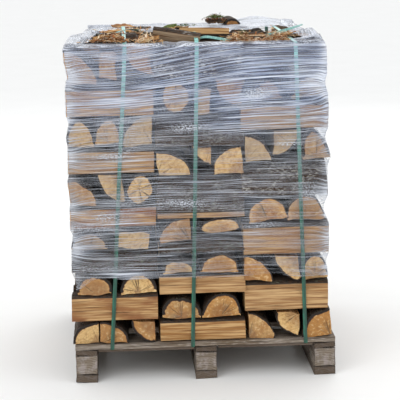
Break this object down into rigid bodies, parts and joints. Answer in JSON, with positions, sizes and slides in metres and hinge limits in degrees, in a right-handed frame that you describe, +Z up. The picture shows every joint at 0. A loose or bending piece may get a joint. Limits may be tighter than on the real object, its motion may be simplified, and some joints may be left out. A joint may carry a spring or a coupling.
{
  "type": "pallet load of split birch firewood",
  "caption": "Split birch firewood cross-stacked on a timber pallet, tied with green straps and wrapped in clear stretch film.",
  "frame": {"origin": "on the floor under the middle of the load", "axes": "+Z up, front towards -Y, +X to the right of the front"},
  "size_m": [1.0188, 1.0024, 1.3345],
  "materials": {
    "pallet_timber": "weathered rough-sawn softwood",
    "split_birch": "raw split and sawn birch",
    "birch_bark": "rough grey-brown bark with lichen",
    "strap": "embossed polyester band",
    "stretch_film": "wrinkled clear polyethylene film"
  },
  "bodies": {
    "root": {"deck_board_1": "pallet_timber", "deck_board_2": "pallet_timber", "deck_board_3": "pallet_timber", "deck_board_4": "pallet_timber", "deck_board_5": "pallet_timber", "stringer_left": "pallet_timber", "block_left_front": "pallet_timber", "block_left_centre": "pallet_timber", "block_left_back": "pallet_timber", "runner_left": "pallet_timber", "stringer_middle": "pallet_timber", "block_middle_front": "pallet_timber", "block_middle_centre": "pallet_timber", "block_middle_back": "pallet_timber", "runner_middle": "pallet_timber", "stringer_right": "pallet_timber", "block_right_front": "pallet_timber", "block_right_centre": "pallet_timber", "block_right_back": "pallet_timber", "runner_right": "pallet_timber", "log_front_left_1": "split_birch", "log_front_left_2": "split_birch", "log_front_left_3": "split_birch", "stack_front_left": "split_birch", "log_front_middle_1": "split_birch", "log_front_middle_2": "split_birch", "log_front_middle_3": "split_birch", "stack_front_middle": "split_birch", "log_front_right_1": "split_birch", "log_front_right_2": "split_birch", "log_front_right_3": "split_birch", "stack_front_right": "split_birch", "log_centre_left_1": "split_birch", "log_centre_left_2": "split_birch", "log_centre_left_3": "split_birch", "stack_centre_left": "split_birch", "log_centre_middle_1": "split_birch", "log_centre_middle_2": "split_birch", "stack_centre_middle": "split_birch", "log_centre_right_1": "split_birch", "log_centre_right_2": "split_birch", "log_centre_right_3": "split_birch", "stack_centre_right": "split_birch", "log_back_left_1": "split_birch", "log_back_left_2": "split_birch", "stack_back_left": "split_birch", "log_back_middle_1": "split_birch", "log_back_middle_2": "split_birch", "log_back_middle_3": "split_birch", "stack_back_middle": "split_birch", "log_back_right_1": "split_birch", "log_back_right_2": "split_birch", "stack_back_right": "split_birch", "loose_split_log": "split_birch", "loose_bark_slab": "birch_bark", "loose_back_log": "birch_bark", "strap_left": "strap", "strap_middle": "strap", "strap_right": "strap", "stretch_film": "stretch_film"}
  },
  "joints": []
}
